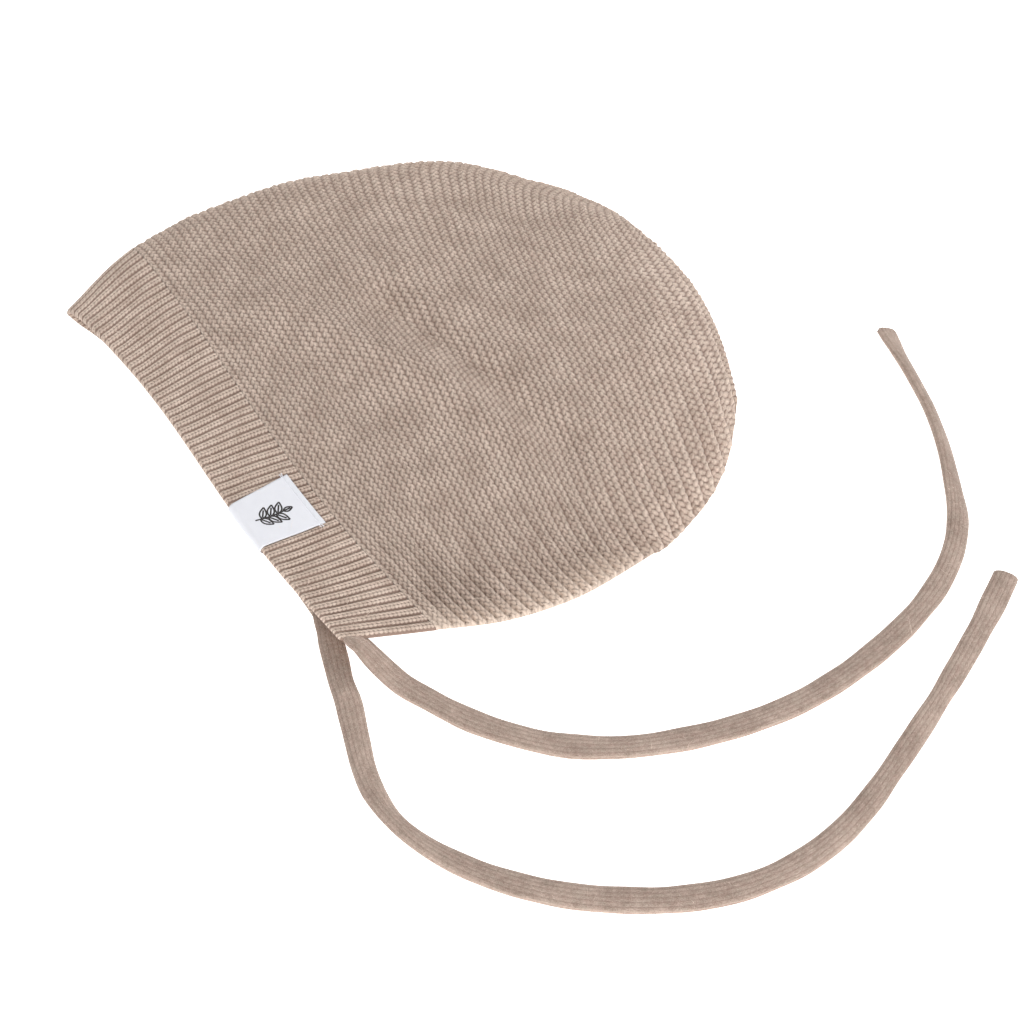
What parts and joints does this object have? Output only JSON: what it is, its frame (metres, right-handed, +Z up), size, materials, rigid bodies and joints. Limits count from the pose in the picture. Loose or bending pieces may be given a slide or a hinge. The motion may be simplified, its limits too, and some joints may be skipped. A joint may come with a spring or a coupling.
{
  "type": "knitted baby bonnet",
  "caption": "Soft knitted baby bonnet lying on its side, with a ribbed face band, a rounded garter-stitch crown, a folded white label and two flat ties.",
  "frame": {"origin": "under the middle of the bonnet's box, ties left aside, on the surface that it lies on", "axes": "+X from the face edge to the back of the head, +Y from the chin along the face edge to the forehead, +Z up through the two layers"},
  "size_m": [0.2325, 0.3066, 0.0261],
  "materials": {
    "garter_knit": "matt heathered beige wool in fine garter stitch",
    "rib_knit": "matt heathered beige wool in one by one rib",
    "label_cotton": "smooth matt white cotton tape",
    "tie_knit": "matt heathered beige wool in fine stocking stitch"
  },
  "bodies": {
    "root": {"crown": "garter_knit", "front_band": "rib_knit", "label": "label_cotton", "tie_upper": "tie_knit", "tie_lower": "tie_knit"}
  },
  "joints": []
}
